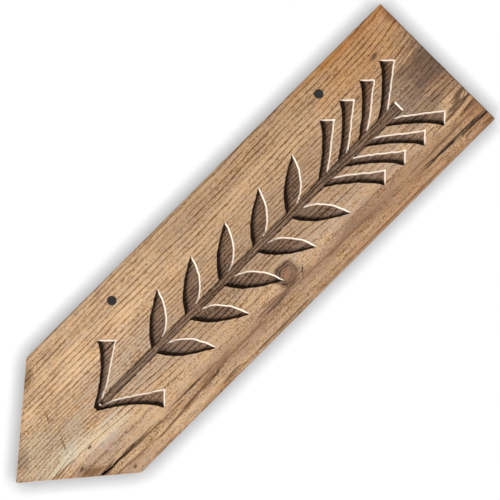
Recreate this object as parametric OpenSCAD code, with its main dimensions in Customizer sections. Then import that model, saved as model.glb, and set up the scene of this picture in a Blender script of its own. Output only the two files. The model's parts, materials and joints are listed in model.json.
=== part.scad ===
// Wooden arrow sign: one sawn plank that comes to a point at its left end.
// It has two fixing holes near the top edge, and a leafy arrow carved into its face.
// X runs along the grain to the butt end, Z is up, and the carved face looks towards -Y.
// The origin lies midway between the two fixing holes, on the back of the plank.

/* [Board] */
// Length from the tip to the butt end
board_l = 550; // [500:1:700]
// Width across the grain
board_w = 150; // [135:1:200]
// Thickness of the plank
board_t = 20; // [14:0.5:40]
// Length of the sawn point
point_l = 88; // [60:1:95]
// Width of the worn flat at the very tip
tip_flat = 1.6; // [1:0.1:6]
// Bevel that eases the arrises
arris = 0.8; // [0.3:0.1:2]

/* [Fixing holes] */
// Diameter of each hole, which clears an M8 bolt
hole_d = 9; // [5:0.5:12]
// Distance between the hole centres
hole_pitch = 270; // [150:1:300]
// Distance from the top edge down to the hole centres
hole_drop = 18.5; // [12:0.5:22]
// Distance from the butt end to the centre of the right hole
hole_inset = 99; // [60:1:130]

/* [Carved arrow] */
// Depth of the flat floor of the carving
carve_depth = 3.5; // [1.5:0.1:6]
// Lean of the carved walls, from the lip in to their foot
carve_lean = 1; // [0.4:0.1:1.5]
// Distance from the tip of the board to the tip of the carved arrow
arrow_inset = 100; // [90:1:115]
// Distance of the carved shaft below the middle of the board
arrow_low = 4; // [0:0.5:8]
// Height from the shaft to the ends of the barbs, leaves and feathers
arrow_rise = 38; // [25:0.5:42]
// Width of the carved shaft
shaft_w = 8; // [5:0.5:11]
// Bare shaft between the last feathers and the end of the arrow
shaft_end = 24; // [12:1:32]

/* [Head, leaves and feathers] */
// Length of the two barbs of the head
head_l = 52; // [35:1:60]
// Width of the barbs
head_w = 12; // [7:0.5:14]
// Number of pairs of leaves
leaf_pairs = 5; // [3:1:6]
// Distance from the tip of the carved arrow to the first leaves
leaf_start = 76; // [66:1:85]
// Distance between one pair of leaves and the next
leaf_pitch = 44; // [34:1:45]
// Length of a leaf along the shaft
leaf_l = 42; // [30:1:50]
// Width of a leaf at its broadest
leaf_w = 16; // [9:0.5:19]
// Number of pairs of feathers
feather_pairs = 4; // [2:1:5]
// Distance between one pair of feathers and the next
feather_pitch = 26; // [20:0.5:28]
// Length of a feather along the shaft
feather_l = 46; // [30:1:50]
// Width of a feather
feather_w = 10; // [6:0.5:13]

/* [Drying cracks] */
// Height above the bottom edge of the crack that opens at the point
point_crack_rise = 23; // [15:0.5:28]
// Length of that crack
point_crack_l = 74; // [40:1:120]
// Width of its mouth
point_crack_w = 2.6; // [1.2:0.1:4]
// Height above the bottom edge of the crack that opens at the butt end
butt_crack_rise = 10.6; // [8:0.2:14]
// Length of that crack
butt_crack_l = 30; // [20:1:60]
// Width of its mouth
butt_crack_w = 1.4; // [0.8:0.1:3]
// Length of the closed crack beside it
side_crack_l = 62; // [30:1:100]
// Width of the closed crack
side_crack_w = 0.9; // [0.6:0.1:2]
// Depth of the cracks where they are widest
crack_depth = 7; // [3:0.5:10]

/* [Hidden] */
wood = "burlywood";
lead = 1;             // how far a cutting tool stands out of the face
foot_min = 0.2;       // narrowest floor half-width of a cut
stations = 10;        // sections along one carved stroke
crack_stations = 8;   // sections along one crack
flare = 0.5;          // how much broader a stroke ends, as a share of its width
butt_x = hole_pitch / 2 + hole_inset;
tip_x = butt_x - board_l;
shoulder_x = tip_x + point_l;
top_z = hole_drop;
bottom_z = top_z - board_w;
middle_z = top_z - board_w / 2;
face_y = -board_t;
arrow_tip = [tip_x + arrow_inset, middle_z - arrow_low];
leaf_end = leaf_start + (leaf_pairs - 1) * leaf_pitch;
feather_start = leaf_end + leaf_l;
shaft_l = feather_start + (feather_pairs - 1) * feather_pitch + shaft_end;

// Outline of the plank in X and Z, drawn in by a given amount on every side.
// The slanted edges move in by the same amount, measured square to them.
function plank_outline(inset) =
    let(slope = (board_w - tip_flat) / 2 / point_l,
        grown = inset * sqrt(1 + slope * slope),
        half = board_w / 2 - inset,
        nose = tip_flat / 2,
        shift = (grown - inset) / slope)
    [[tip_x + inset, middle_z - nose - slope * inset + grown],
     [shoulder_x + shift, middle_z - half],
     [butt_x - inset, middle_z - half],
     [butt_x - inset, middle_z + half],
     [shoulder_x + shift, middle_z + half],
     [tip_x + inset, middle_z + nose + slope * inset - grown]];

// A slab of the plank's outline, between two depths measured from the back.
module slab(inset, from_back, to_back)
    translate([0, -from_back, 0]) rotate([90, 0, 0])
        linear_extrude(height = to_back - from_back) polygon(plank_outline(inset));

// The plank before any cutting, with its arrises eased.
module plank()
    hull() {
        slab(0, arris, board_t - arris);
        slab(arris, 0, board_t);
    }

module fixing_holes()
    for (side = [-1, 1])
        translate([side * hole_pitch / 2, 0, 0]) rotate([90, 0, 0])
            translate([0, 0, -lead]) cylinder(d = hole_d, h = board_t + 2 * lead, $fn = 48);

// Point on a bowed line from a to b. The bow is how far its middle stands off to the left.
function bowed(a, b, bow, t) =
    let(run = b - a, square = [-run[1], run[0]] / norm(run))
    a + run * t + square * bow * 4 * t * (1 - t);

// A cut that follows a centre line in the face of the board. Each section is a tapered
// trough: lip half-width, floor half-width and depth are given for every station.
module trough(line, lip, foot, depth) {
    n = len(line) - 1;
    function along(i) =
        let(d = line[min(n, i + 1)] - line[max(0, i - 1)]) d / norm(d);
    function corner(i, level) =
        let(dir = along(i), square = [-dir[1], dir[0]],
            spread = lip[i] - foot[i],
            half = level == 0 ? lip[i] + spread * lead / depth[i] : foot[i],
            push = level == 0 ? spread * lead / depth[i] : -spread,
            end = i == 0 ? -push : i == n ? push : 0,
            mid = line[i] + dir * end,
            y = level == 0 ? face_y - lead : face_y + depth[i],
            left = mid + square * half, right = mid - square * half)
        [[left[0], y, left[1]], [right[0], y, right[1]]];
    points = [for (i = [0 : n]) each concat(corner(i, 0), corner(i, 1))];
    // Corners of one section, in order round it: lip left, lip right, foot right, foot left.
    ring = [0, 1, 3, 2];
    walls = [for (i = [0 : n - 1], k = [0 : 3])
        let(a = 4 * i + ring[k], b = 4 * i + ring[(k + 1) % 4], c = b + 4, d = a + 4)
        each [[a, c, b], [a, d, c]]];
    ends = [[0, 3, 2], [0, 1, 3],
            [4 * n, 4 * n + 3, 4 * n + 1], [4 * n, 4 * n + 2, 4 * n + 3]];
    polyhedron(points = points, faces = concat(walls, ends));
}

// One carved stroke from a to b, with its half-width given at equal steps along it.
module stroke(a, b, bow, half) {
    line = [for (t = [0 : 1 / stations : 1]) arrow_tip + bowed(a, b, bow, t)];
    foot = [for (h = half) max(h - carve_lean, foot_min)];
    trough(line, half, foot, [for (h = half) carve_depth]);
}

// Half-widths of a bar that swells from its root and flares out at its end.
function bar(width, root) =
    [for (t = [0 : 1 / stations : 1]) width / 2 * (root + (1 - root) * t + flare * pow(t, 6))];

// Half-widths of a leaf, pointed at both ends and broadest past its middle.
function leaf(width) =
    [for (t = [0 : 1 / stations : 1]) max(width / 2 * pow(sin(180 * pow(t, 0.85)), 0.8), 0.9)];

module carved_shaft()
    stroke([head_w / 2, 0], [shaft_l, 0], 0, bar(shaft_w, 1));

module carved_head()
    for (side = [-1, 1])
        stroke([0, 0], [head_l, side * arrow_rise], side * -3, bar(head_w, 0.4));

module carved_leaves()
    for (i = [0 : leaf_pairs - 1], side = [-1, 1])
        let(root = leaf_start + i * leaf_pitch)
        stroke([root, side * shaft_w / 4], [root + leaf_l, side * arrow_rise],
               side * -3, leaf(leaf_w));

module carved_feathers()
    for (i = [0 : feather_pairs - 1], side = [-1, 1])
        let(root = feather_start + i * feather_pitch)
        stroke([root, 0], [root + feather_l, side * arrow_rise], side * -2, bar(feather_w, 0.7));

// A crack from start along +X or -X, which wanders a little and closes towards its ends.
// The mouth is its widest place: 0 for the start, 0.5 for the middle.
module crack(start, length, width, mouth, wander) {
    function open(t) = mouth == 0 ? pow(1 - t, 1.6) : pow(sin(180 * t), 0.8);
    steps = [for (t = [0 : 1 / crack_stations : 1]) t];
    line = [for (t = steps) start + [length * t, wander * sin(300 * t)]];
    lip = [for (t = steps) max(width / 2 * open(t), 0.2)];
    trough(line, lip, [for (h = lip) h / 3],
           [for (t = steps) max(crack_depth * open(t), 1)]);
}

module cracks() {
    // The point crack starts where the lower slanted edge has reached its height.
    edge_x = shoulder_x - point_l * point_crack_rise / (board_w / 2);
    crack([edge_x - lead, bottom_z + point_crack_rise], point_crack_l, point_crack_w, 0, 1.2);
    crack([butt_x + lead, bottom_z + butt_crack_rise], -butt_crack_l, butt_crack_w, 0, 0.3);
    crack([butt_x - butt_crack_l * 0.8, bottom_z + butt_crack_rise + 1.6],
          -side_crack_l, side_crack_w, 0.5, 0.4);
}

module sign_board()
    color(wood) difference() {
        plank();
        fixing_holes();
        carved_shaft();
        carved_head();
        carved_leaves();
        carved_feathers();
        cracks();
    }

sign_board();
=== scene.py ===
import json
import math

import bpy
import numpy as np
from mathutils import Matrix, Vector
from mathutils.geometry import delaunay_2d_cdt


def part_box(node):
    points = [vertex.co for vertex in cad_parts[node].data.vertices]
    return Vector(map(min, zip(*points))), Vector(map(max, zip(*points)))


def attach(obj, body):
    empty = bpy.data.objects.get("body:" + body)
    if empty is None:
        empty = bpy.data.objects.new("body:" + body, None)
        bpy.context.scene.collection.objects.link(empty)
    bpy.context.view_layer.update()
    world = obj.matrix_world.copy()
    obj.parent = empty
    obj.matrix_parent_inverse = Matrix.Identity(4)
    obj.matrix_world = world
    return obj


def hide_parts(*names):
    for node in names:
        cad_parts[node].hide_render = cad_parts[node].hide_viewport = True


# A weathered softwood arrow sign, carved with a leafy arrow and seen square on.
# Lengths are in millimetres until a mesh is made, and X runs along the grain.

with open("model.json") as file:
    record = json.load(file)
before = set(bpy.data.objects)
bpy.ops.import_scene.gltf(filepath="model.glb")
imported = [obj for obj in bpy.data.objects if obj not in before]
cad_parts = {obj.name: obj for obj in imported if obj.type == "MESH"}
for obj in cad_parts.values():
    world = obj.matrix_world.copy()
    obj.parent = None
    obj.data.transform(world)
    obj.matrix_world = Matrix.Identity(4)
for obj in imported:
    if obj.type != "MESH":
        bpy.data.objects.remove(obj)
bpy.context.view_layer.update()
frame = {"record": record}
mm = 0.001

boardLow, boardHigh = (np.array(corner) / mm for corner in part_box("sign_board"))
mounts = {mount["name"]: mount for mount in frame["record"]["mounts"]}
print("frame loaded, board from", boardLow.round(1), "to", boardHigh.round(1))


latticeSize = 256          # of the table of random heights


def softNoise(x, y, seed, octaves=2):
    # value noise: random heights on a square lattice, blended by the step 3t^2 - 2t^3; each
    # octave is about half as large and half as strong as the one before
    total, gain = np.zeros(np.broadcast(x, y).shape), 1.0
    for octave in range(octaves):
        table = np.random.default_rng(seed + octave).uniform(-1, 1, (latticeSize, latticeSize))
        col, row = np.floor(x).astype(int), np.floor(y).astype(int)
        fx, fy = x - col, y - row
        fx, fy = fx * fx * (3 - 2 * fx), fy * fy * (3 - 2 * fy)
        left, right = col % latticeSize, (col + 1) % latticeSize
        here, above = row % latticeSize, (row + 1) % latticeSize
        near = table[here, left] * (1 - fx) + table[here, right] * fx
        far = table[above, left] * (1 - fx) + table[above, right] * fx
        total = total + gain * (near * (1 - fy) + far * fy)
        x, y, gain = x * 2.03, y * 2.03, gain * 0.5
    return total


def pathLength(points):
    # length along a chain of points, 0 at the first: the running sum of the steps
    return np.concatenate([[0], np.cumsum(np.linalg.norm(np.diff(points, axis=0), axis=1))])


# The arrow that is carved into the face, with sizes as in the part's source.
carving = {
    "depth": 3.5,          # flat floor below the face
    "lean": 1.5,           # the wall's foot lies this far inside its lip
    "tipInset": 100,       # carved tip from the board's tip
    "low": 4,              # shaft below the board's middle
    "rise": 38,            # shaft to the ends of the barbs, leaves and feathers
    "shaftWidth": 8, "shaftEnd": 24,
    "headLength": 52, "headWidth": 12,
    "leafPairs": 5, "leafStart": 76, "leafPitch": 44, "leafLength": 42, "leafWidth": 16,
    "featherPairs": 4, "featherPitch": 26, "featherLength": 46, "featherWidth": 10,
    "flare": 0.5,          # extra width at the end of a bar
    "handCut": 0.34,       # how far the knife wandered
    "handWave": 4.2, "nickWave": 2.6,   # length of its waves and of its nicks
    "toolMarks": 0.16,     # unevenness of the floor
}
middleZ = (boardLow[2] + boardHigh[2]) / 2
arrowTip = np.array([boardLow[0] + carving["tipInset"], middleZ - carving["low"]])


def barWidth(t, width, root):
    # half-width grows evenly from the root and flares by the sixth power of t
    return width / 2 * (root + (1 - root) * t + carving["flare"] * t ** 6)


def leafWidth(t, width):
    # half-width is a sine that leans to the far end, raised to 0.8 for blunt shoulders
    return np.maximum(width / 2 * np.sin(math.pi * t ** 0.85) ** 0.8, 0.9)


def strokeOutline(start, end, bow, halfWidth, seed):
    # centre line: start + run t + bow 4t(1 - t) to its left; the two sides stand off by the
    # half-width, which wanders a little along the stroke
    start, end = np.array(start, float), np.array(end, float)
    run = end - start
    length = np.linalg.norm(run)
    square = np.array([-run[1], run[0]]) / length
    t = np.linspace(0, 1, max(24, int(length / 1.4)))
    line = start + run * t[:, None] + square * (4 * bow * t * (1 - t))[:, None]
    along = np.gradient(line, axis=0)
    along /= np.linalg.norm(along, axis=1)[:, None]
    side = np.stack([-along[:, 1], along[:, 0]], axis=1)
    sides = []
    for edge, sign in enumerate((1, -1)):
        s = t * length
        wander = softNoise(s / carving["handWave"], np.full_like(s, 7.3 * edge), seed, 2)
        nick = softNoise(s / carving["nickWave"], np.full_like(s, 3.1 + edge), seed + 50, 1)
        nick = np.maximum(nick - 0.45, 0)
        reach = halfWidth(t) + carving["handCut"] * wander + 1.5 * carving["handCut"] * nick
        sides.append(arrowTip + line + side * (sign * np.maximum(reach, 0.6))[:, None])
    return np.concatenate([sides[0], sides[1][::-1]])


def carvedStrokes():
    # the shaft, and on each side of it a barb, the leaves and the feathers
    c = carving
    featherStart = c["leafStart"] + (c["leafPairs"] - 1) * c["leafPitch"] + c["leafLength"]
    shaftLength = featherStart + (c["featherPairs"] - 1) * c["featherPitch"] + c["shaftEnd"]
    strokes = [strokeOutline((c["headWidth"] / 2, 0), (shaftLength, 0), 0,
                             lambda t: barWidth(t, c["shaftWidth"], 1), 100)]
    for side in (-1, 1):
        seed = 200 + 300 * (side > 0)
        strokes.append(strokeOutline((0, 0), (c["headLength"], side * c["rise"]), side * -3,
                                     lambda t: barWidth(t, c["headWidth"], 0.4), seed))
        for i in range(c["leafPairs"]):
            root = c["leafStart"] + i * c["leafPitch"]
            strokes.append(strokeOutline(
                (root, side * c["shaftWidth"] / 4), (root + c["leafLength"], side * c["rise"]),
                side * -3, lambda t: leafWidth(t, c["leafWidth"]), seed + 10 + i))
        for i in range(c["featherPairs"]):
            root = featherStart + i * c["featherPitch"]
            strokes.append(strokeOutline(
                (root, 0), (root + c["featherLength"], side * c["rise"]), side * -2,
                lambda t: barWidth(t, c["featherWidth"], 0.7), seed + 30 + i))
    return strokes


def signedDistance(points, outline, reach):
    # distance to the nearest edge of a closed outline, negative inside it, with the
    # direction in which it grows; only points within reach of its box are worked out
    distance = np.full(len(points), 1e3)
    away = np.zeros((len(points), 2))
    low, high = outline.min(0) - reach, outline.max(0) + reach
    near = np.nonzero(((points > low) & (points < high)).all(1))[0]
    a, b = outline, np.roll(outline, -1, 0)
    edge = b - a
    sq = (edge ** 2).sum(1)
    for part in np.array_split(near, max(1, len(near) * len(a) // 2000000)):
        p = points[part][:, None, :]
        t = np.clip(((p - a) * edge).sum(2) / sq, 0, 1)
        toEdge = p - (a + edge * t[:, :, None])
        d = np.hypot(toEdge[:, :, 0], toEdge[:, :, 1])
        best = d.argmin(1)
        rows = np.arange(len(part))
        crosses = (a[:, 1] > p[:, :, 1]) != (b[:, 1] > p[:, :, 1])
        dz = np.where(edge[:, 1] == 0, 1e-12, edge[:, 1])
        right = p[:, :, 0] < a[:, 0] + edge[:, 0] * (p[:, :, 1] - a[:, 1]) / dz
        sign = np.where((crosses & right).sum(1) % 2 == 1, -1.0, 1.0)
        distance[part] = sign * d[rows, best]
        away[part] = sign[:, None] * toEdge[rows, best] / np.maximum(d[rows, best], 1e-9)[:, None]
    return distance, away


def carvedDistance(points, strokes):
    # the union of the strokes: the smallest of their signed distances
    distance = np.full(len(points), 1e3)
    away = np.zeros((len(points), 2))
    for outline in strokes:
        d, w = signedDistance(points, outline, 4)
        closer = d < distance
        distance[closer], away[closer] = d[closer], w[closer]
    return distance, away


# Drying cracks: X where each is widest, X where it closes, height, width, depth, and how far
# it wanders up or down. An open one has its mouth in an edge of the board.
cracks = [
    {"mouth": -256, "end": -181, "z": -108, "width": 2.6, "depth": 7, "wander": -1.2, "open": True},
    {"mouth": 235, "end": 203, "z": -121, "width": 1.3, "depth": 6, "wander": -0.3, "open": True},
    {"mouth": 211, "end": 148, "z": -119.2, "width": 0.9, "depth": 3, "wander": 0.5, "open": False},
    {"mouth": 235, "end": 214, "z": -91.5, "width": 0.9, "depth": 2.5, "wander": -5.5, "open": True},
    {"mouth": 235, "end": 219, "z": -105.2, "width": 0.7, "depth": 2, "wander": -1.6, "open": True},
]


def crackLine(crack, x):
    # t runs from the mouth to the closed end; the line drifts by a sine and by noise, and the
    # gape falls as (1 - t)^1.5, or swells as a sine where both ends are closed
    t = np.clip((x - crack["mouth"]) / (crack["end"] - crack["mouth"]), 0, 1)
    z = crack["z"] + crack["wander"] * np.sin(t * 2.6) + 0.5 * softNoise(x / 9, t * 0, 900, 2)
    if crack["open"]:
        gape = (1 - t) ** 1.5 * (1 + 0.35 * softNoise(x / 6, t * 0 + 5, 910, 2))
    else:
        gape = np.sin(math.pi * t) ** 0.7
    within = (x >= min(crack["mouth"], crack["end"])) & (x <= max(crack["mouth"], crack["end"]))
    return z, np.where(within, np.maximum(gape, 0.05), 0)


# The board. Its face is a grid over length and width, pressed in where it is carved.
board = {
    "pointLength": 88, "tipFlat": 1.6,
    "arris": 0.9,          # rounding of the long edges
    "fineStep": 0.93,      # grid step over the carving and the cracks
    "coarseStep": 2.2,     # grid step elsewhere
    "fineX": (-259, 234), "fineZ": (-123.5, -16.5),
    "patch": 11,           # half-width of the square round a hole
    "ringRows": 6,         # rows of points from the square in to the hole
    "proud": 0.05,         # the sheet of the face lies this far inside the solid's
    "weather": 0.05,       # height of the fibres that weather has raised
    "wear": 0.32,          # how deep the arrises are worn
    "mapLength": 560,      # millimetres of wood in one unit of the map
    # where each side's strip lies on the map: lower slant, bottom, butt, top, upper slant, tip
    "shelves": [(0.01, 0.70), (0.01, 0.60), (0.25, 0.70), (0.01, 0.65), (0.56, 0.70), (0.92, 0.70)],
}
uvScale = 1 / board["mapLength"]
shoulderX = boardLow[0] + board["pointLength"]
faceY, backY = boardLow[1], boardHigh[1]
holeCentres = [np.array(mounts[name]["pos_m"])[[0, 2]] / mm
               for name in ("fixing_hole_left", "fixing_hole_right")]
holeRadius = mounts["fixing_hole_left"]["dims"]["r_mm"]


def stepsAlong(low, fineLow, fineHigh, high, fixed=()):
    # even fine steps in the middle and even coarse ones outside, with a line at each fixed place
    cuts = [low, fineLow, fineHigh, high]
    line = []
    for a, b, step in zip(cuts[:-1], cuts[1:], ("coarseStep", "fineStep", "coarseStep")):
        if b - a > 0.5:
            line.append(np.linspace(a, b, max(2, int(round((b - a) / board[step])) + 1))[:-1])
    line = np.concatenate(line + [[high]])
    for place in fixed:
        line[np.abs(line - place).argmin()] = place
    return line


def halfHeight(x):
    # half the board's width: full behind the shoulders, falling evenly to the tip's flat
    full = (boardHigh[2] - boardLow[2]) / 2 - board["arris"]
    nose = board["tipFlat"] / 2
    t = np.clip((x - boardLow[0] - board["arris"]) / (board["pointLength"] - board["arris"]), 0, 1)
    return nose + (full - nose) * t


def faceGrid():
    # columns at set places along X; each column's points share out the board's width there
    inset = board["arris"]
    holeXs = [c[0] + k * board["patch"] for c in holeCentres for k in (-1, 1)]
    xs = stepsAlong(boardLow[0] + inset, board["fineX"][0], board["fineX"][1] - inset,
                    boardHigh[0] - inset, [shoulderX] + holeXs)
    zs = stepsAlong(boardLow[2] + inset, *board["fineZ"], boardHigh[2] - inset,
                    [k * board["patch"] for k in (-1, 1)])
    t = (zs - middleZ) / (zs[-1] - middleZ)
    x = np.repeat(xs[None, :], len(zs), 0)
    z = middleZ + t[:, None] * halfHeight(xs)[None, :]
    return xs, zs, x, z


def snapToContours(x, z, distance, away, step):
    # slides a grid point along its own row or column, by half a step at most, on to
    # the lip or the foot of the carved wall
    for level in (0.0, -carving["lean"]):
        gap = level - distance
        inRow = np.abs(away[..., 0]) >= np.abs(away[..., 1])
        pull = np.where(inRow, away[..., 0], away[..., 1])
        move = gap / np.where(np.abs(pull) < 0.3, 1e9, pull)
        take = (np.abs(move) <= step * 0.5) & (np.abs(gap) > 1e-9) & (np.abs(gap) < step)
        x = np.where(take & inRow, x + move, x)
        z = np.where(take & ~inRow, z + move, z)
        distance = np.where(take, level, distance)
    return x, z, distance


def openCracks(x, z, depth, dark):
    # in each column the three nearest points move to the crack's middle and its two lips
    rows, cols = x.shape
    col = np.arange(cols)
    for crack in cracks:
        lineZ, gape = crackLine(crack, x[rows // 3])
        inside = (gape > 0) & (np.abs(lineZ - middleZ) < halfHeight(x[rows // 3]) - 0.1)
        row = np.clip(np.abs(z - lineZ).argmin(0), 1, rows - 2)
        c, r = col[inside], row[inside]
        half = np.maximum(crack["width"] / 2 * gape[inside], 0.12)
        z[r, c] = lineZ[inside]
        z[r - 1, c] = lineZ[inside] - half
        z[r + 1, c] = lineZ[inside] + half
        depth[r, c] = np.maximum(depth[r, c], crack["depth"] * gape[inside] ** 0.7)
        # painted shade: the wider a crack gapes, the darker its bottom is painted
        dark[r, c] = np.clip(0.12 + 1.2 * gape[inside], 0, 1)
    return z, depth, dark


def gridTriangles(index, depth):
    # two triangles to a cell, cut along the diagonal whose ends lie most nearly level
    a, b, c, d = index[:-1, :-1], index[:-1, 1:], index[1:, 1:], index[1:, :-1]
    da, db, dc, dd = (depth.ravel()[k] for k in (a, b, c, d))
    first, second = np.abs(da - dc), np.abs(db - dd)
    useAc = (first < second - 1e-6) | ((np.abs(first - second) <= 1e-6) & (da + dc >= db + dd))
    one = np.where(useAc[..., None], np.stack([a, b, c], -1), np.stack([a, b, d], -1))
    two = np.where(useAc[..., None], np.stack([a, c, d], -1), np.stack([b, c, d], -1))
    return one, two


def facePaint(x, z, distance, sunk, dark, triangles):
    # red is stain in the carving, green its walls, blue the painted shade of the cracks, and
    # alpha the rim, which fades as exp(-distance / 2.2)
    mean = distance.ravel()[triangles].mean(1)
    wall = (mean < -1e-6) & (mean > -carving["lean"] + 1e-6)
    floor = mean <= -carving["lean"] + 1e-6
    rim = np.minimum(halfHeight(x) - np.abs(z - middleZ), boardHigh[0] - x).ravel()
    paint = np.zeros((len(triangles), 3, 4))
    paint[..., 0] = np.where(wall[:, None], sunk.ravel()[triangles], floor[:, None])
    paint[..., 1] = wall[:, None]
    paint[..., 2] = dark.ravel()[triangles]
    paint[..., 3] = np.exp(-np.maximum(rim[triangles], 0) / 2.2)
    return paint


def faceBlock(strokes):
    # depth grows evenly with the distance inside a stroke, until its floor is reached
    xs, zs, x, z = faceGrid()
    distance, away = carvedDistance(np.stack([x.ravel(), z.ravel()], 1), strokes)
    distance, away = distance.reshape(x.shape), away.reshape(x.shape + (2,))
    fine = (x > board["fineX"][0] + 2) & (z > board["fineZ"][0]) & (z < board["fineZ"][1])
    sx, sz, sd = snapToContours(x, z, distance, away, board["fineStep"])
    x, z, distance = np.where(fine, sx, x), np.where(fine, sz, z), np.where(fine, sd, distance)

    sunk = np.clip(-distance / carving["lean"], 0, 1)
    onFloor, bare = distance < -carving["lean"] - 0.05, distance > 0.05
    marks = carving["toolMarks"] * softNoise(x / 3.1, z / 2.3, 40, 2) * onFloor
    weather = board["weather"] * softNoise(x / 30, z / 3.2, 60, 3) * bare
    depth = carving["depth"] * sunk + marks
    z, depth, dark = openCracks(x, z, depth, np.zeros_like(depth))

    surface = np.stack([x, faceY + depth + board["proud"] + weather, z], -1)
    index = np.arange(x.size).reshape(x.shape)
    one, two = gridTriangles(index, depth)
    keep = np.ones(one.shape[:2], bool)
    loops = []
    for centre in holeCentres:
        c0, c1 = (np.abs(xs - (centre[0] + k * board["patch"])).argmin() for k in (-1, 1))
        r0, r1 = (np.abs(zs - (centre[1] + k * board["patch"])).argmin() for k in (-1, 1))
        keep[r0:r1, c0:c1] = False
        loops.append(np.concatenate([index[r0, c0:c1], index[r0:r1, c1],
                                     index[r1, c1:c0:-1], index[r1:r0:-1, c0]]))
    triangles = np.concatenate([one[keep], two[keep]])
    flat = surface.reshape(-1, 3)
    paint = facePaint(x, z, distance, sunk, dark, triangles)
    edge = np.concatenate([index[0, :-1], index[:-1, -1], index[-1, :0:-1], index[:0:-1, 0]])
    blocks = [makeBlock(flat, triangles, planeMap(flat, 0.01, 0.01), paint)]
    rings = []
    for loop, centre in zip(loops, holeCentres):
        ring, block = holePatch(flat[loop], centre)
        rings.append(ring)
        blocks.append(block)
    return blocks, flat[edge], rings


def planeMap(points, u, v):
    # the map of a flat side: length and width to scale, from the corner (u, v)
    return np.stack([u + (points[:, 0] - boardLow[0]) * uvScale,
                     v + (points[:, 2] - boardLow[2]) * uvScale], 1)


def makeBlock(points, triangles, uv, paint=None):
    # one stretch of surface, with its map and its paint given at the corners of the triangles
    if paint is None:
        paint = np.zeros((len(triangles), 3, 4))
    return {"points": points, "triangles": triangles, "uv": uv[triangles], "paint": paint}


def holePatch(loop, centre):
    # rings from the hole's rim out to the square that the grid leaves open: each point
    # moves evenly from the rim, in its own direction, to its place on the square
    offset = loop[:, [0, 2]] - centre
    direction = offset / np.linalg.norm(offset, axis=1)[:, None]
    rim = centre + direction * holeRadius
    t = np.linspace(0, 1, board["ringRows"]) ** 1.5
    flat = rim + (loop[:, [0, 2]] - rim) * t[:, None, None]
    lip = faceY + board["proud"]
    y = lip + (loop[:, 1] - lip) * t[:, None]
    points = np.stack([flat[..., 0], y, flat[..., 1]], -1)
    points[-1] = loop
    return points[0], stripBlock(points, planeMapGrid(points), True)


def planeMapGrid(points):
    # the same map for points that stand in rows
    return planeMap(points.reshape(-1, 3), 0.01, 0.01).reshape(points.shape[:2] + (2,))


def stripBlock(points, uv, flip, closed=True, paint=None):
    # a strip of rows; when it is closed its last column meets its first
    if closed:
        points = np.concatenate([points, points[:, :1]], 1)
        uv = np.concatenate([uv, uv[:, :1]], 1)
    rows, cols = points.shape[:2]
    index = np.arange(rows * cols).reshape(rows, cols)
    a, b, c, d = index[:-1, :-1], index[:-1, 1:], index[1:, 1:], index[1:, :-1]
    triangles = np.concatenate([np.stack([a, b, c], -1).reshape(-1, 3),
                                np.stack([a, c, d], -1).reshape(-1, 3)])
    if flip:
        triangles = triangles[:, ::-1]
    block = makeBlock(points.reshape(-1, 3), triangles, uv.reshape(-1, 2))
    if paint is not None:
        if closed:
            paint = np.concatenate([paint, paint[:, :1]], 1)
        block["paint"][..., 3] = paint.ravel()[triangles]
    return block


def outlineCorners(inset):
    # the pointed outline, drawn in square to each side by the inset
    half = (boardHigh[2] - boardLow[2]) / 2
    nose = board["tipFlat"] / 2
    slope = (half - nose) / board["pointLength"]
    grown = inset * math.sqrt(1 + slope * slope)
    left, right = boardLow[0] + inset, boardHigh[0] - inset
    shoulder = shoulderX + (grown - inset) / slope
    tall = half - inset
    nib = max(nose + slope * inset - grown, 0.3)
    return np.array([[left, middleZ - nib], [shoulder, middleZ - tall], [right, middleZ - tall],
                     [right, middleZ + tall], [shoulder, middleZ + tall], [left, middleZ + nib]])


def edgeBlock(edge):
    # section: a quarter circle from the face, a straight side, a quarter circle to the back;
    # each point keeps its share of the outline's side while the outline moves out and in
    r, thick = board["arris"], backY - faceY
    bend = np.radians([22, 45, 68, 90])
    inset = np.concatenate([r - r * np.sin(bend), [0, 0], r - r * np.sin(bend[::-1]), [r]])
    drop = np.concatenate([r - r * np.cos(bend), [thick * 0.36, thick * 0.64],
                           thick - r + r * np.cos(bend[::-1]), [thick]])
    flat = edge[:, [0, 2]]
    side, share = nearestSide(flat, outlineCorners(r))
    length = pathLength(flat)
    rows = [edge]
    for inwards, down in zip(inset, drop):
        corner = outlineCorners(inwards)
        a, b = corner[side], corner[(side + 1) % 6]
        place = a + (b - a) * share[:, None]
        if down < thick:
            place = place - outward(side) * wornAway(length, down)[:, None]
        rows.append(np.stack([place[:, 0], np.full(len(place), faceY + down), place[:, 1]], 1))
    points = np.stack(rows)
    down = np.concatenate([[0], np.cumsum(np.abs(np.diff(points[:, :, 1].mean(1))) + 0.25)])
    grime = np.clip(1.1 - (points[:, :, 1].mean(1) - faceY) / 2.5, 0, 1)
    strips = []
    for k in range(6):
        cols = np.nonzero(side == k)[0]
        jump = np.nonzero(np.diff(cols) > 1)[0]
        if len(jump):                          # this side runs over the start of the ring
            cols = np.roll(cols, -(jump[0] + 1))
        cols = np.append(cols, (cols[-1] + 1) % len(edge))
        u, v = board["shelves"][k]
        uv = np.stack(np.broadcast_arrays(u + pathLength(flat[cols])[None] * uvScale,
                                          v + down[:, None] * uvScale), -1)
        paint = np.repeat(grime[:, None], len(cols), 1)
        strips.append(stripBlock(points[:, cols], uv, True, False, paint))
    return strips, points[-1]


def wornAway(length, down):
    # hollows in the arrises: short waves, and long ones where they rise past 0.3
    short = softNoise(length / 5, length * 0 + down / 4, 70, 3)
    long = softNoise(length / 24, length * 0 + down / 30, 80, 2)
    return board["wear"] * (np.maximum(short, 0) + np.maximum(long - 0.3, 0))


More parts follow.
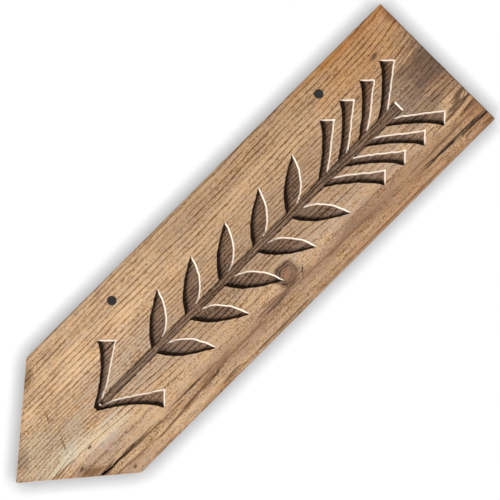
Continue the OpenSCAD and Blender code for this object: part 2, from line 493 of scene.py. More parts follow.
def nearestSide(points, corner):
    # the side of the outline that a point lies on, and its share of the way along it
    run = np.roll(corner, -1, 0) - corner
    t = np.clip(((points[:, None] - corner) * run).sum(2) / (run ** 2).sum(1), 0, 1)
    gap = np.linalg.norm(points[:, None] - (corner + run * t[:, :, None]), axis=2)
    side = gap.argmin(1)
    return side, t[np.arange(len(points)), side]


def outward(side):
    # unit direction square to each side of the outline
    corner = outlineCorners(0)
    run = np.roll(corner, -1, 0) - corner
    square = np.stack([run[:, 1], -run[:, 0]], 1)
    return (square / np.linalg.norm(square, axis=1)[:, None])[side]


def boreBlock(ring, shelf):
    # the rim's circle carried straight back to the board's rear face
    depth = np.array([0, 0.5, 1.0, 7, 13, 19.0, 19.5, 20]) / 20 * (backY - ring[:, 1].mean())
    y = ring[None, :, 1] + depth[:, None]
    y[-1] = backY
    circles = np.repeat(ring[None], len(depth), 0)
    points = np.stack([circles[..., 0], y, circles[..., 2]], -1)
    around = np.linspace(0, 2 * math.pi * holeRadius, len(ring))
    uv = np.stack([np.repeat((shelf + around * uvScale)[None], len(depth), 0),
                   np.repeat((0.83 + depth * uvScale)[:, None], len(ring), 1)], -1)
    return stripBlock(points, uv, False), points[-1]


def backBlock(outer, rings):
    # a flat sheet stretched between the outline and the two holes, over a loose grid of points
    gap = 6.0
    gx, gz = np.meshgrid(np.arange(boardLow[0] + gap, boardHigh[0] - gap / 2, gap),
                         np.arange(boardLow[2] + gap, boardHigh[2] - gap / 2, gap))
    inner = np.stack([gx.ravel(), gz.ravel()], 1)
    clear = (halfHeight(inner[:, 0]) - np.abs(inner[:, 1] - middleZ) > gap / 2)
    for centre in holeCentres:
        clear &= np.linalg.norm(inner - centre, axis=1) > holeRadius + gap / 3
    loops = [outer[:, [0, 2]]] + [ring[:, [0, 2]] for ring in rings]
    points, edges, total = [], [], 0
    for loop in loops:
        count = len(loop)
        order = total + np.arange(count)
        edges += list(zip(order.tolist(), np.roll(order, -1).tolist()))
        points.append(loop)
        total += count
    points = np.concatenate(points + [inner[clear]])
    made = delaunay_2d_cdt([Vector(p) for p in points.tolist()], edges,
                           [list(range(len(outer)))], 1, 1e-6)
    flat = points[[came[0] for came in made[3]]]
    triangles = np.array(made[2])
    for centre in holeCentres:
        beyond = np.linalg.norm(flat - centre, axis=1) > holeRadius * 1.001
        triangles = triangles[beyond[triangles].any(1)]
    corners = flat[triangles]
    turn = np.cross(corners[:, 1] - corners[:, 0], corners[:, 2] - corners[:, 0])
    triangles[turn > 0] = triangles[turn > 0][:, ::-1]
    surface = np.stack([flat[:, 0], np.full(len(flat), backY), flat[:, 1]], 1)
    return makeBlock(surface, triangles, planeMap(surface, 0.01, 0.30))


def joinBlocks(name, blocks):
    # all blocks in one mesh; points that lie together become one, which closes the seams
    points = np.concatenate([b["points"] for b in blocks]) * mm
    shift = np.cumsum([0] + [len(b["points"]) for b in blocks[:-1]])
    triangles = np.concatenate([b["triangles"] + s for b, s in zip(blocks, shift)])
    uv = np.concatenate([b["uv"] for b in blocks]).reshape(-1, 2)
    paint = np.concatenate([b["paint"] for b in blocks]).reshape(-1, 4)
    first, again = np.unique(np.round(points * 1e7).astype(np.int64), axis=0,
                             return_index=True, return_inverse=True)[1:]
    points, triangles = points[first], again.ravel()[triangles]
    a, b, c = triangles.T
    whole = (a != b) & (b != c) & (a != c)
    corner = np.repeat(whole, 3)
    triangles, uv, paint = triangles[whole], uv[corner], paint[corner]
    used, triangles = np.unique(triangles, return_inverse=True)
    points, triangles = points[used], triangles.reshape(-1, 3)
    mesh = bpy.data.meshes.new(name)
    mesh.vertices.add(len(points))
    mesh.vertices.foreach_set("co", points.ravel())
    mesh.loops.add(triangles.size)
    mesh.loops.foreach_set("vertex_index", triangles.ravel().astype(np.int32))
    mesh.polygons.add(len(triangles))
    mesh.polygons.foreach_set("loop_start", np.arange(0, triangles.size, 3, dtype=np.int32))
    mesh.update(calc_edges=True)
    mesh.uv_layers.new(name="OFBake").uv.foreach_set("vector", uv.ravel().astype(np.float32))
    layer = mesh.attributes.new("carved", "FLOAT_COLOR", "CORNER")
    layer.data.foreach_set("color", paint.ravel().astype(np.float32))
    mesh.polygons.foreach_set("use_smooth", np.ones(len(triangles), bool))
    mesh.set_sharp_from_angle(angle=math.radians(32))
    mesh.validate(verbose=True)
    obj = bpy.data.objects.new(name, mesh)
    bpy.context.scene.collection.objects.link(obj)
    return obj


blocks, edge, rings = faceBlock(carvedStrokes())
print("face worked out,", sum(len(b["triangles"]) for b in blocks), "triangles")
side, rear = edgeBlock(edge)
blocks += side
backRings = []
for k, ring in enumerate(rings):
    bore, backRing = boreBlock(ring, 0.01 + k * 0.1)
    blocks.append(bore)
    backRings.append(backRing)
blocks.append(backBlock(rear, backRings))
plank = joinBlocks("carved_plank", blocks)
print("plank joined,", len(plank.data.polygons), "triangles")


# The wood of the board: screen colours from 0 to 255, and shares of light from 0 to 1.
wood = {
    "pale": (217, 184, 147), "middle": (190, 154, 117), "dark": (110, 73, 42),
    "mean": (198, 163, 127),       # what they come to together
    "stain": (0.37, 0.33, 0.335),  # share of light that the carved floor keeps
    "sawn": (0.72, 0.68, 0.64),    # the same for the sawn edges
    "endGrain": (0.74, 0.68, 0.62),
    "sawLine": (0.70, 0.66, 0.62),
    "rimDirt": (176, 158, 140),
    # walls of the carving: a pale painted highlight where they face the key light, and stain with painted
    # shade where they face away
    "freshWallAndHighlight": (240, 226, 210), "wallStainAndShade": (60, 42, 32),
    # painted shade: the near-black painted in the cracks
    "crackShadeBlack": (26, 17, 11),
    "roughness": 0.72, "grainRelief": 0.0005,
}

# growth rings and the way the grain runs
grain = {
    "pith": (38, -118),                            # centre of the rings, in Y and Z
    "narrow": 2.65, "broad": 3.9, "broadFrom": 105,   # spacing, and where it changes
    "waves": [((190, 90, 60), 6.0), ((48, 30, 10), 1.1), ((11, 5, 1.8), 0.36)],   # size, swing
    "riseFrom": 165, "riseRate": 0.0012,           # the lines turn up at the butt end
    "fanFrom": (-60, -45), "fanRate": -0.00035,    # and fan out along the board
    "hump": {"at": (-256, -76), "reach": (32, 17), "lift": 4.0},   # and arch over the point
}

# fields of noise: size along X, Y and Z, octaves, roughness
fields = {
    "coarse": ((60, 6, 2.6), 3.0, 0.6),
    "fine": ((15, 1.6, 0.9), 3.0, 0.6),
    "cloud": ((46, 30, 17), 3.0, 0.55),
    "speck": ((1.7, 1.5, 1.2), 2.0, 0.75),
    "blush": ((11, 8, 6), 2.0, 0.6),
    "hue": ((30, 20, 12), 3.0, 0.6),
    "gold": ((14, 9, 5), 3.0, 0.6),
    "bands": ((120, 40, 9), 2.0, 0.5),
    "lengthwise": ((60, 40, 9), 3.0, 0.5),
    "pores": ((3, 0.8, 0.8), 3.0, 0.7),
    "checks": ((24, 3, 0.8), 1.0, 0.5),
}

# soft-edged regions: middle, half-length and half-height, turn in degrees, colour of the wood
regions = [
    ((70, 2), (150, 50), 0, (182, 148, 113)),
    ((195, 4), (75, 42), 0, (184, 140, 98)),
    ((30, -62), (235, 35), 0, (174, 143, 113)),
    ((236, -58), (44, 36), 0, (142, 110, 84)),
    ((232, -44), (18, 24), 0, (162, 136, 110)),
    ((236, -116), (42, 18), 0, (164, 122, 86)),
    ((-275, -56), (52, 24), 0, (188, 161, 131)),
    ((-238, -77), (50, 10), -6, (211, 186, 154)),
    ((-238, -96), (46, 10), -4, (180, 150, 124)),
    ((-42, -111), (132, 11), 0, (170, 136, 107)),
    ((115, -110), (120, 12), 0, (161, 125, 94)),
    ((125, -127), (135, 7), 0, (177, 138, 104)),
    ((-30, -125), (120, 8), 0, (189, 156, 123)),
    ((-245, -124), (60, 8), 0, (180, 147, 118)),
    ((185, 15), (95, 5), 0, (194, 149, 102)),
    ((160, 15), (15, 3), 0, (206, 170, 122)),
    ((236, 2), (9, 14), 0, (158, 116, 84)),
    ((-240, 5), (16, 5), 30, (146, 114, 80)),
    ((-262, -98), (14, 8), -38, (156, 120, 88)),
    ((-299, -48), (12, 6), 38, (168, 134, 104)),
    ((70, -14), (115, 9), 0, (210, 173, 135)),
    ((-170, -19), (100, 14), 0, (211, 174, 136)),
    ((160, -2), (32, 11), 0, (210, 173, 135)),
    ((-34, 4), (44, 13), 0, (185, 152, 119)),
    ((226, -17), (16, 10), 0, (175, 143, 109)),
    ((192, -58), (27, 34), 0, (166, 138, 111)),
    ((206, -77), (36, 8), 0, (180, 146, 113)),
    ((80, -98), (125, 18), 0, (196, 164, 133)),
    ((-165, -55), (62, 27), 0, (195, 165, 135)),
]

# thin dark lines and spots, given in the same way, with their own colour
marks = [
    ((-248, -107.6), (12, 3.0), 2, (74, 48, 30)),
    ((-228, -108.3), (24, 1.5), 0, (84, 56, 36)),
    ((-203, -110.4), (34, 1.3), -2, (104, 74, 50)),
    ((-255, -101.5), (11, 3.6), -20, (134, 98, 66)),
    ((-142, -108.2), (27, 1.2), 0, (62, 40, 24)),
    ((-106, -108.8), (26, 0.9), 0, (124, 90, 62)),
    ((-228, -118), (34, 1.1), -3, (132, 98, 72)),
    ((-136, -116.2), (40, 1.1), 5, (92, 62, 40)),
    ((-112, -115.2), (16, 1.3), 8, (56, 36, 22)),
    ((-112, -111.5), (24, 3.0), 4, (146, 110, 80)),
    ((-100, -113.2), (2.6, 2.0), 20, (78, 52, 34)),
    ((-168, -119.4), (34, 0.9), 3, (120, 86, 58)),
    ((-106, -126), (13, 1.7), 4, (128, 92, 60)),
    ((-42, -128.2), (72, 0.9), 0, (116, 84, 56)),
    ((96, -128.8), (80, 0.8), 0, (124, 86, 56)),
    ((-26, -109.6), (29, 1.5), 3, (62, 42, 28)),
    ((-22, -107.9), (24, 2.2), 3, (132, 100, 74)),
    ((-40, -106.6), (22, 1.0), 4, (122, 92, 70)),
    ((-12, -107.0), (20, 0.9), 6, (122, 90, 68)),
    ((-70, -112.8), (38, 1.2), 0, (138, 104, 78)),
    ((62, -112), (66, 1.0), -1, (134, 100, 72)),
    ((9, -105), (7, 0.9), 50, (92, 64, 48)),
    ((-254, -35.5), (7, 0.7), 58, (128, 100, 76)),
    ((-260.5, -63.0), (3.6, 0.9), 66, (98, 72, 52)),
    ((-258.0, -57.5), (3.4, 0.6), 56, (136, 104, 80)),
    ((196, -11.5), (4.8, 2.1), 4, (88, 68, 52)),
    ((-245.3, -81.4), (1.9, 1.6), 0, (70, 48, 32)),
    ((-264, -90.0), (2.8, 1.2), 18, (86, 60, 42)),
    ((-278, -79.6), (12, 1.1), 4, (134, 98, 66)),
    ((-227.7, -123.4), (2.4, 1.8), 0, (110, 80, 58)),
    ((224, -93), (15, 3.4), 22, (100, 74, 54)),
    ((229, -98.7), (9, 1.1), 3, (52, 35, 25)),
    ((225, -105.4), (13, 1.4), 8, (66, 44, 31)),
    ((182, -118.1), (34, 1.5), -1, (58, 38, 24)),
    ((219, -120.5), (22, 1.8), -1, (44, 29, 20)),
    ((206, -100.4), (24, 1.2), 3, (112, 80, 58)),
    ((186, -112), (42, 1.2), 1, (128, 92, 64)),
    ((232, -128.5), (9, 1.4), -8, (108, 74, 46)),
]

# places where fibres and rings show less: middle, half-length and half-height, how much less
quietPlaces = [
    ((-175, 4), (60, 24), 0.16),
    ((-246, -79), (42, 15), 0.34),
    ((8, -121), (85, 14), 0.30),
    ((115, -121), (60, 14), 0.18),
]

# the knot near the bottom edge, with its pull on the grain and its redder core
knot = {
    "at": (-3.4, -96.4), "radius": 10.6,
    "bend": 0.8, "reach": (36, 17),     # how much it pulls the grain together, and how far off
    "tint": (0.57, 0.49, 0.46), "ring": (76, 53, 41),
    "core": {"at": (-3.6, -96.6), "size": (3.8, 1.9), "turn": 32, "colour": (172, 116, 90)},
}


def linear(colour):
    # screen colour, 0 to 255, to linear light
    c = np.array(colour) / 255
    return np.where(c <= 0.04045, c / 12.92, ((c + 0.055) / 1.055) ** 2.4)


class Wires:
    # short names for the nodes of one material; every value may be a number or a socket
    def __init__(self, tree):
        self.tree = tree
        self.tree.nodes.clear()

    def node(self, kind, values=(), **settings):
        # a new node with its inputs, given in order or by name, and its settings
        made = self.tree.nodes.new("ShaderNode" + kind)
        for name, value in settings.items():
            setattr(made, name, value)
        for place, value in (values.items() if isinstance(values, dict) else enumerate(values)):
            if isinstance(value, bpy.types.NodeSocket):
                self.tree.links.new(value, made.inputs[place])
            elif value is not None:
                made.inputs[place].default_value = value
        return made

    def maths(self, operation, *values, clamp=False):
        return self.node("Math", values, operation=operation, use_clamp=clamp).outputs[0]

    def add(self, a, b):
        return self.maths("ADD", a, b)

    def times(self, a, b):
        return self.maths("MULTIPLY", a, b)

    def minus(self, a, b):
        return self.maths("SUBTRACT", a, b)

    def step(self, value, low, high, outLow=0.0, outHigh=1.0):
        # a soft step from one result to the other while the value runs from low to high
        return self.node("MapRange", {0: value, 1: low, 2: high, 3: outLow, 4: outHigh},
                         interpolation_type="SMOOTHSTEP").outputs[0]

    def noise(self, vector, scale, detail=2.0, rough=0.5):
        return self.node("TexNoise", {"Vector": vector, "Scale": scale, "Detail": detail,
                                      "Roughness": rough}).outputs[0]

    def stretch(self, vector, sizes):
        # the vector in units of the given sizes
        return self.node("VectorMath", [vector, tuple(1 / s for s in sizes)],
                         operation="MULTIPLY").outputs[0]

    def bell(self, x, z, middle, reach):
        # exp(-(a^2 + b^2)), a and b being distances from the middle in units of the reach
        a = self.times(self.minus(x, middle[0]), 1 / reach[0])
        b = self.times(self.minus(z, middle[1]), 1 / reach[1])
        return self.maths("EXPONENT", self.minus(0.0, self.add(self.times(a, a), self.times(b, b))))

    def swing(self, noise, amount):
        # noise about 0.5 turned into a swing of the given amount about 0
        return self.times(self.minus(noise, 0.5), 2 * amount)

    def mix(self, factor, a, b, blend="MIX"):
        # from colour a towards colour b by the factor
        made = self.node("Mix", data_type="RGBA", blend_type=blend, clamp_factor=True)
        for place, value in ((0, factor), (6, a), (7, b)):
            if isinstance(value, bpy.types.NodeSocket):
                self.tree.links.new(value, made.inputs[place])
            elif place == 0:
                made.inputs[0].default_value = value
            else:
                made.inputs[place].default_value = (*value, 1)
        return made.outputs[2]

    def tinted(self, colour, tint, amount=1.0):
        # the colour multiplied by a tint
        return self.mix(amount, colour, tint, "MULTIPLY")


def spot(w, x, z, at, size, turn, fray, soft=0.9):
    # 1 inside an ellipse, 0 outside: its turned distance from the middle, frayed by noise
    turn = math.radians(turn)
    dx, dz = w.minus(x, at[0]), w.minus(z, at[1])
    along = w.add(w.times(dx, math.cos(turn) / size[0]), w.times(dz, math.sin(turn) / size[0]))
    across = w.add(w.times(dx, -math.sin(turn) / size[1]), w.times(dz, math.cos(turn) / size[1]))
    far = w.maths("SQRT", w.add(w.times(along, along), w.times(across, across)))
    return w.step(w.add(far, fray), 0.8 + soft / 2, 0.8 - soft / 2)


def grainHeight(w, x, z, place):
    # the height that a fibre would have in straight grain: Z, less a bell-shaped pull towards
    # the knot, a rise at the butt by the square of the distance, a fan, a hump and waves
    kz = w.minus(z, knot["at"][1])
    bent = w.minus(z, w.times(w.times(kz, w.bell(x, z, knot["at"], knot["reach"])), knot["bend"]))
    past = w.maths("MAXIMUM", w.minus(x, grain["riseFrom"]), 0.0)
    rise = w.times(w.times(w.times(past, past), grain["riseRate"]), w.step(z, -75.0, -25.0))
    fanX, fanZ = w.minus(x, grain["fanFrom"][0]), w.minus(z, grain["fanFrom"][1])
    fan = w.times(w.times(fanZ, fanX), grain["fanRate"])
    hump = grain["hump"]
    arch = w.times(w.bell(x, z, hump["at"], hump["reach"]), hump["lift"])
    height = w.add(w.minus(bent, rise), w.minus(fan, arch))
    for size, swing in grain["waves"]:
        height = w.add(height, w.swing(w.noise(w.stretch(place, size), 1.0, 2.0), swing))
    return height


def latewood(w, y, height, lengthwise):
    # distance from the pith, counted in narrow rings and then in broad ones; each ring darkens
    # by the square of its part and ends in a dark line, with faint lines between
    py, pz = w.minus(y, grain["pith"][0]), w.minus(height, grain["pith"][1])
    radius = w.maths("SQRT", w.add(w.times(py, py), w.times(pz, pz)))
    slower = 1 / grain["narrow"] - 1 / grain["broad"]
    beyond = w.maths("MAXIMUM", w.minus(radius, grain["broadFrom"]), 0.0)
    count = w.minus(w.times(radius, 1 / grain["narrow"]), w.times(beyond, slower))
    part = w.maths("FRACT", count)
    line = w.times(w.step(part, 0.64, 0.86), w.step(part, 0.99, 0.90))
    between = w.maths("FRACT", w.times(count, 3.0))
    faint = w.times(w.step(between, 0.5, 0.8), w.step(between, 1.0, 0.85))
    late = w.add(w.add(line, w.times(w.times(part, part), 0.30)), w.times(faint, 0.16))
    own = w.node("TexWhiteNoise", {"W": w.maths("FLOOR", count)}, noise_dimensions="1D").outputs[0]
    late = w.times(late, w.add(0.82, w.times(own, 0.36)))       # each ring has its own strength
    late = w.times(late, w.step(lengthwise, 0.30, 0.70, 0.8, 1.25))
    return w.times(late, w.step(w.maths("ABSOLUTE", pz), 9.0, 38.0, 0.30, 1.0))


def woodTone(w, x, z, field, late, low):
    # how dark the bare wood is: rings, streaks, fibres, specks, clouds and broad bands
    quiet = 1.0
    for at, size, less in quietPlaces:
        quiet = w.minus(quiet, w.times(spot(w, x, z, at, size, 0, 0.0, 1.2), less))
    streaks = w.times(w.swing(field["coarse"], 1.0), w.add(0.50, w.times(low, 0.55)))
    small = w.add(w.swing(field["fine"], 0.56), w.swing(field["speck"], 1.5))
    detail = w.add(w.times(late, 0.58), small)
    bands = w.times(w.swing(field["bands"], 0.26), w.step(x, -170.0, -60.0))
    tone = w.add(w.add(w.times(w.minus(detail, 0.10), quiet), 0.22), w.add(streaks, bands))
    return w.add(tone, w.swing(field["cloud"], 0.48))


def bareWood(w, field, tone, low):
    # pale to middle to dark by the tone, with a mottling of warm and cool patches, and of gold
    # and brown in the lowest strip
    colour = w.mix(w.times(tone, 2.0), linear(wood["pale"]), linear(wood["middle"]))
    colour = w.mix(w.minus(w.times(tone, 1.5), 0.6), colour, linear(wood["dark"]))
    blush = w.mix(w.step(field["blush"], 0.35, 0.65), (1.04, 1.0, 0.93), (0.985, 0.985, 1.02))
    colour = w.tinted(colour, blush)
    colour = w.tinted(colour, (1.0, 0.90, 0.80), w.step(field["hue"], 0.45, 0.75, 0.0, 0.5))
    golden = w.times(low, w.step(field["gold"], 0.50, 0.70, 0.0, 0.8))
    brown = w.times(low, w.step(field["gold"], 0.48, 0.30, 0.0, 0.8))
    return w.tinted(w.tinted(colour, (1.08, 1.02, 0.89), golden), (0.80, 0.75, 0.72), brown)


def agedWood(w, x, y, z, field, colour, sharp):
    # the soft regions tint the wood right through, and the marks lie in its face
    fray = w.add(w.swing(field["cloud"], 0.75), w.swing(field["coarse"], 0.6))
    weathered = w.step(y, faceY + 2, faceY + 8, 1.0, 0.4)
    for at, size, turn, shade in regions:
        tint = linear(shade) / linear(wood["mean"])
        colour = w.tinted(colour, tint, w.times(spot(w, x, z, at, size, turn, fray), weathered))
    nearFace = w.step(y, faceY + 9, faceY + 3, 0.0, 0.92)
    for at, size, turn, shade in marks:
        amount = w.times(spot(w, x, z, at, size, turn, sharp, 0.5), nearFace)
        colour = w.mix(amount, colour, linear(shade))
    return colour


def knotWood(w, x, z, place, colour, sharp):
    # fine rings about the knot's middle, darkest above and to the left, and a redder core
    kx, kz = w.minus(x, knot["at"][0]), w.minus(z, knot["at"][1])
    far = w.maths("SQRT", w.add(w.times(w.times(kx, kx), 0.58), w.times(kz, kz)))
    far = w.add(far, w.swing(w.noise(w.stretch(place, (10, 9, 7)), 1.0, 3.0), 3.4))
    swirl = w.step(w.maths("SINE", w.times(far, 2.5)), -0.9, 0.5, 0.36, 1.0)
    blotch = w.step(w.noise(w.stretch(place, (5, 5, 4)), 1.0, 2.0), 0.35, 0.62, 0.62, 1.15)
    inKnot = w.step(far, knot["radius"] + 1.0, knot["radius"] - 2.0)
    upper = w.step(w.minus(kz, kx), -9.0, 8.0, 0.6, 1.0)
    band = w.times(w.step(far, 1.5, 6.0, 0.35, 1.0), inKnot)
    band = w.times(band, w.times(upper, w.times(swirl, blotch)))
    colour = w.tinted(colour, knot["tint"], w.times(inKnot, 0.9))
    colour = w.mix(band, colour, linear(knot["ring"]))
    core = knot["core"]
    inCore = w.times(spot(w, x, z, core["at"], core["size"], core["turn"], sharp, 0.6), 0.8)
    return w.mix(inCore, colour, linear(core["colour"]))


def carvedWood(w, colour, tone, stain, wall, normal):
    # the floor is stained, deepest in the dark grain. Light and shade are painted on the walls: those that
    # face the point of the board, and so the key light, get a pale painted highlight, and the others are
    # stained and given painted shade
    deeper = w.step(tone, 0.05, 0.7, 1.32, 0.45)
    stained = w.tinted(colour, wood["stain"])
    stained = w.tinted(stained, w.node("CombineXYZ", [deeper] * 3).outputs[0])
    colour = w.mix(stain, colour, stained)
    # painted highlight on the walls that face the key light, strongest near their lips
    highlightedWalls = w.times(w.times(wall, w.step(normal[0], -0.10, -0.45)), w.step(stain, 1.0, 0.1, 0.35, 0.9))
    # painted shade: every wall takes some stain, and more the further it faces away from the key light
    colour = w.mix(w.times(wall, w.step(normal[0], -0.10, 0.35, 0.35, 0.85)), colour,
                   linear(wood["wallStainAndShade"]))
    return w.mix(highlightedWalls, colour, linear(wood["freshWallAndHighlight"]))


def sawnWood(w, x, place, field, colour, wall, normal):
    # the sawn sides are darker, the ends of the fibres darker still, and the back keeps faint
    # marks of the saw across it: a sine of X, with waves and gaps
    side = w.times(w.step(w.maths("ABSOLUTE", normal[1]), 0.7, 0.2), w.minus(1.0, wall))
    colour = w.tinted(colour, wood["sawn"], side)
    ends = w.times(w.step(w.maths("ABSOLUTE", normal[0]), 0.4, 0.9), w.minus(1.0, wall))
    ends = w.times(ends, w.step(field["pores"], 0.35, 0.65, 0.2, 0.9))
    colour = w.tinted(colour, wood["endGrain"], ends)
    bow = w.times(w.noise(w.stretch(place, (26, 26, 60)), 1.0, 2.0), 5.0)
    sawAt = w.times(w.add(w.times(x, 0.36), bow), 6.283)
    gaps = w.step(w.noise(w.stretch(place, (30, 30, 26)), 1.0, 2.0), 0.4, 0.6)
    line = w.times(w.step(w.maths("SINE", sawAt), 0.2, 1.0), w.step(normal[1], 0.6, 0.9))
    return w.tinted(colour, wood["sawLine"], w.times(w.times(line, gaps), 0.35))


def woodMaterial():
    # the whole wood, from the fibres to the carving, the sawn sides and the cracks
    material = bpy.data.materials.new("weathered_softwood")
    material.use_nodes = True
    w = Wires(material.node_tree)
    place = w.node("VectorMath", [w.node("TexCoord").outputs["Object"], (1000, 1000, 1000)],
                   operation="MULTIPLY").outputs[0]       # in millimetres
    x, y, z = w.node("SeparateXYZ", [place]).outputs
    normal = w.node("SeparateXYZ", [w.node("TexCoord").outputs["Normal"]]).outputs
    layer = w.node("Attribute", attribute_name="carved")
    stain, wall, crack = w.node("SeparateColor", [layer.outputs["Color"]]).outputs
    field = {name: w.noise(w.stretch(place, size), 1.0, octaves, rough)
             for name, (size, octaves, rough) in fields.items()}
    fine, speck = field["fine"], field["speck"]
    sharp = w.add(w.add(w.swing(fine, 1.7), w.swing(field["coarse"], 1.5)), w.swing(speck, 0.9))
    low = w.step(z, -86.0, -106.0)                        # the lowest strip

    late = latewood(w, y, grainHeight(w, x, z, place), field["lengthwise"])
    tone = woodTone(w, x, z, field, late, low)
    colour = bareWood(w, field, tone, low)
    colour = agedWood(w, x, y, z, field, colour, sharp)
    colour = knotWood(w, x, z, place, colour, sharp)
    colour = carvedWood(w, colour, tone, stain, wall, normal)
    dirty = w.step(w.add(fine, field["cloud"]), 0.7, 1.3, 0.1, 0.75)
    colour = w.tinted(colour, linear(wood["rimDirt"]), w.times(layer.outputs["Alpha"], dirty))
    colour = sawnWood(w, x, place, field, colour, wall, normal)
    # painted shade in the cracks
    colour = w.mix(crack, colour, linear(wood["crackShadeBlack"]))

    # relief: fibres, pores and checks, too fine for the mesh
    height = w.add(w.times(speck, 0.9), w.times(fine, 0.7))
    check = w.times(w.step(field["checks"], 0.60, 0.68), -0.5)
    height = w.add(height, w.add(w.times(late, 0.25), check))
    bump = w.node("Bump", {"Strength": 0.75, "Distance": wood["grainRelief"], "Height": height})
    rough = w.add(wood["roughness"], w.swing(fine, 0.12))
    shader = w.node("BsdfPrincipled", {"Base Color": colour, "Roughness": rough,
                                       "Normal": bump.outputs[0], "Specular IOR Level": 0.25})
    w.node("OutputMaterial", {"Surface": shader.outputs[0]})
    return material


plank.data.materials.append(woodMaterial())
print("wood finished")


# The stage: a pale wall behind the sign, which is open from the back, and a pale floor.
stage = {
    "wallGap": 0.4, "wallHalf": 2600,           # behind the board, and half the wall's width
    "floorHalf": 7000, "floorZ": -640,
    "paint": (0.93, 0.93, 0.93),
    # painted shade: a dark grey disc with a faint glow on the wall behind each hole, in place of the shade
    # in the bore
    "holeShadeAndGlow": (0.036, 0.036, 0.034),          # the dark grey seen through the two holes
    "world": 0.05, "backdrop": 1.0,             # light of the sky, and how bright it looks
    "keyRise": 29, "keyStrength": 6.35, "keySpread": 26,    # from the left, low over the face
    "wallLamps": 8, "wallStrength": 3.3, "wallTilt": 33, "wallSpread": 19,   # ring of lamps
    "wallFrom": 235, "wallBias": 0.10,          # the side where the ring is brighter
    "fillStrength": 0.05, "fillSpread": 170,
    "backStrength": 3.6, "backSpread": 50,
    "floorStrength": 2.7, "floorSpread": 50,
}


def plainSheet(name, corners):
    # one flat four-cornered face, for the wall or the floor
    mesh = bpy.data.meshes.new(name)
    mesh.from_pydata([tuple(np.array(c) * mm) for c in corners], [], [(0, 1, 2, 3)])
    obj = bpy.data.objects.new(name, mesh)
    bpy.context.scene.collection.objects.link(obj)
    return obj


def floorPaint():
    material = bpy.data.materials.new("floor_paint")
    material.use_nodes = True
    w = Wires(material.node_tree)
    w.node("OutputMaterial", {"Surface": w.node("BsdfDiffuse", {"Color": (*stage["paint"], 1)}).outputs[0]})
    return material


def wallPaint():
    # even paint, with painted shade behind the two holes, a dark grey disc that glows faintly, and not
    # there when it is seen from the back
    material = bpy.data.materials.new("wall_paint")
    material.use_nodes = True
    w = Wires(material.node_tree)
    here = w.node("TexCoord").outputs["Object"]
    holeShadeMask = 0.0
    for centre in holeCentres:
        middle = (centre[0] * mm, stage["wallGap"] * mm, centre[1] * mm)
        far = w.node("VectorMath", [here, middle], operation="DISTANCE").outputs["Value"]
        holeShadeMask = w.add(w.maths("LESS_THAN", far, 1.6 * holeRadius * mm), holeShadeMask)
    # the painted shade and painted glow on the disc behind each hole
    paint = w.mix(holeShadeMask, stage["paint"], stage["holeShadeAndGlow"])
    glow = w.node("Emission", {"Color": (*stage["holeShadeAndGlow"], 1), "Strength": holeShadeMask}).outputs[0]
    surface = w.node("AddShader", [w.node("BsdfDiffuse", {"Color": paint}).outputs[0], glow]).outputs[0]
    clear = w.node("BsdfTransparent").outputs[0]
    back = w.node("NewGeometry").outputs["Backfacing"]
    w.node("OutputMaterial", {"Surface": w.node("MixShader", [back, surface, clear]).outputs[0]})
    return material


def sun(name, towards, strength, spread, lights):
    # a soft sun that shines from the given direction on the listed objects only
    data = bpy.data.lights.new(name, "SUN")
    data.energy, data.angle = strength, math.radians(spread)
    obj = bpy.data.objects.new(name, data)
    obj.rotation_mode = "QUATERNION"
    obj.rotation_quaternion = Vector(towards).to_track_quat("Z", "Y")
    bpy.context.scene.collection.objects.link(obj)
    group = bpy.data.collections.new(name + "_on")
    for each in lights:
        group.objects.link(each)
    obj.light_linking.receiver_collection = group
    return obj


gap, low, wide, far = stage["wallGap"], stage["floorZ"], stage["wallHalf"], stage["floorHalf"]
wall = plainSheet("pale_wall", [(-wide, gap, low), (wide, gap, low), (wide, gap, wide), (-wide, gap, wide)])
wall.data.materials.append(wallPaint())
wall.visible_shadow = wall.visible_diffuse = wall.visible_glossy = wall.visible_transmission = False
floor = plainSheet("pale_floor", [(-far, -far, low), (far, -far, low), (far, far, low), (-far, far, low)])
floor.data.materials.append(floorPaint())
floor.visible_shadow = floor.visible_diffuse = False

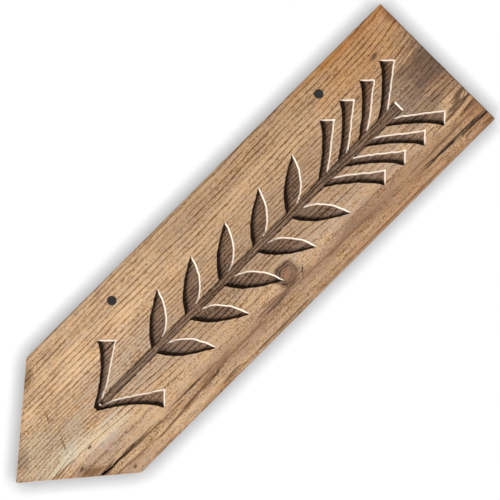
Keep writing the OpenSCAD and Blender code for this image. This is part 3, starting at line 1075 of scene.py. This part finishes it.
rise = math.radians(stage["keyRise"])
sun("key", (-math.cos(rise), -math.sin(rise), 0), stage["keyStrength"], stage["keySpread"], [plank])
tilt, brighter = math.radians(stage["wallTilt"]), math.radians(stage["wallFrom"])
for k in range(stage["wallLamps"]):
    a = 2 * math.pi * (k + 0.5) / stage["wallLamps"]
    towards = (math.sin(tilt) * math.cos(a), -math.cos(tilt), math.sin(tilt) * math.sin(a))
    share = (1 + stage["wallBias"] * math.cos(a - brighter)) / stage["wallLamps"]
    sun("wall_light_%d" % k, towards, stage["wallStrength"] / math.cos(tilt) * share,
        stage["wallSpread"], [wall, floor])
# light that the wood throws back would tint the wall, so the shadow stays a neutral grey
plank.visible_diffuse = False
sun("fill", (0, -1, 0), stage["fillStrength"], stage["fillSpread"], [plank])
sun("back_light", (0.78, 0.55, 0.30), stage["backStrength"], stage["backSpread"], [plank])
sun("floor_light", (0.1, -0.2, 1), stage["floorStrength"], stage["floorSpread"], [floor])

world = bpy.data.worlds.new("soft_studio")
world.use_nodes = True
bpy.context.scene.world = world
sky = Wires(world.node_tree)
strength = sky.add(stage["world"], sky.times(sky.node("LightPath").outputs["Is Camera Ray"],
                                             stage["backdrop"] - stage["world"]))
background = sky.node("Background", {"Color": (1, 1, 1, 1), "Strength": strength})
sky.node("OutputWorld", {"Surface": background.outputs[0]})
bpy.context.scene.view_settings.view_transform = "Standard"


# The camera is square on to the face, and rolled so that the sign points down to the left.
view = {"lens": 600, "sensor": 36, "frame": 461.6, "middle": (-11.7, -57.2)}
data = bpy.data.cameras.new("square_on")
data.lens, data.sensor_width = view["lens"], view["sensor"]
data.clip_end = 50
camera = bpy.data.objects.new("square_on", data)
away = view["frame"] * view["lens"] / view["sensor"]
s = math.sqrt(0.5)
turn = Matrix(((s, s, 0), (0, 0, -1), (-s, s, 0)))   # columns: picture right, picture up, back
camera.matrix_world = Matrix.Translation((view["middle"][0] * mm, (faceY - away) * mm,
                                          view["middle"][1] * mm)) @ turn.to_4x4()
bpy.context.scene.collection.objects.link(camera)
bpy.context.scene.camera = camera
print("stage and camera set")


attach(plank, "root")
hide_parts("sign_board")
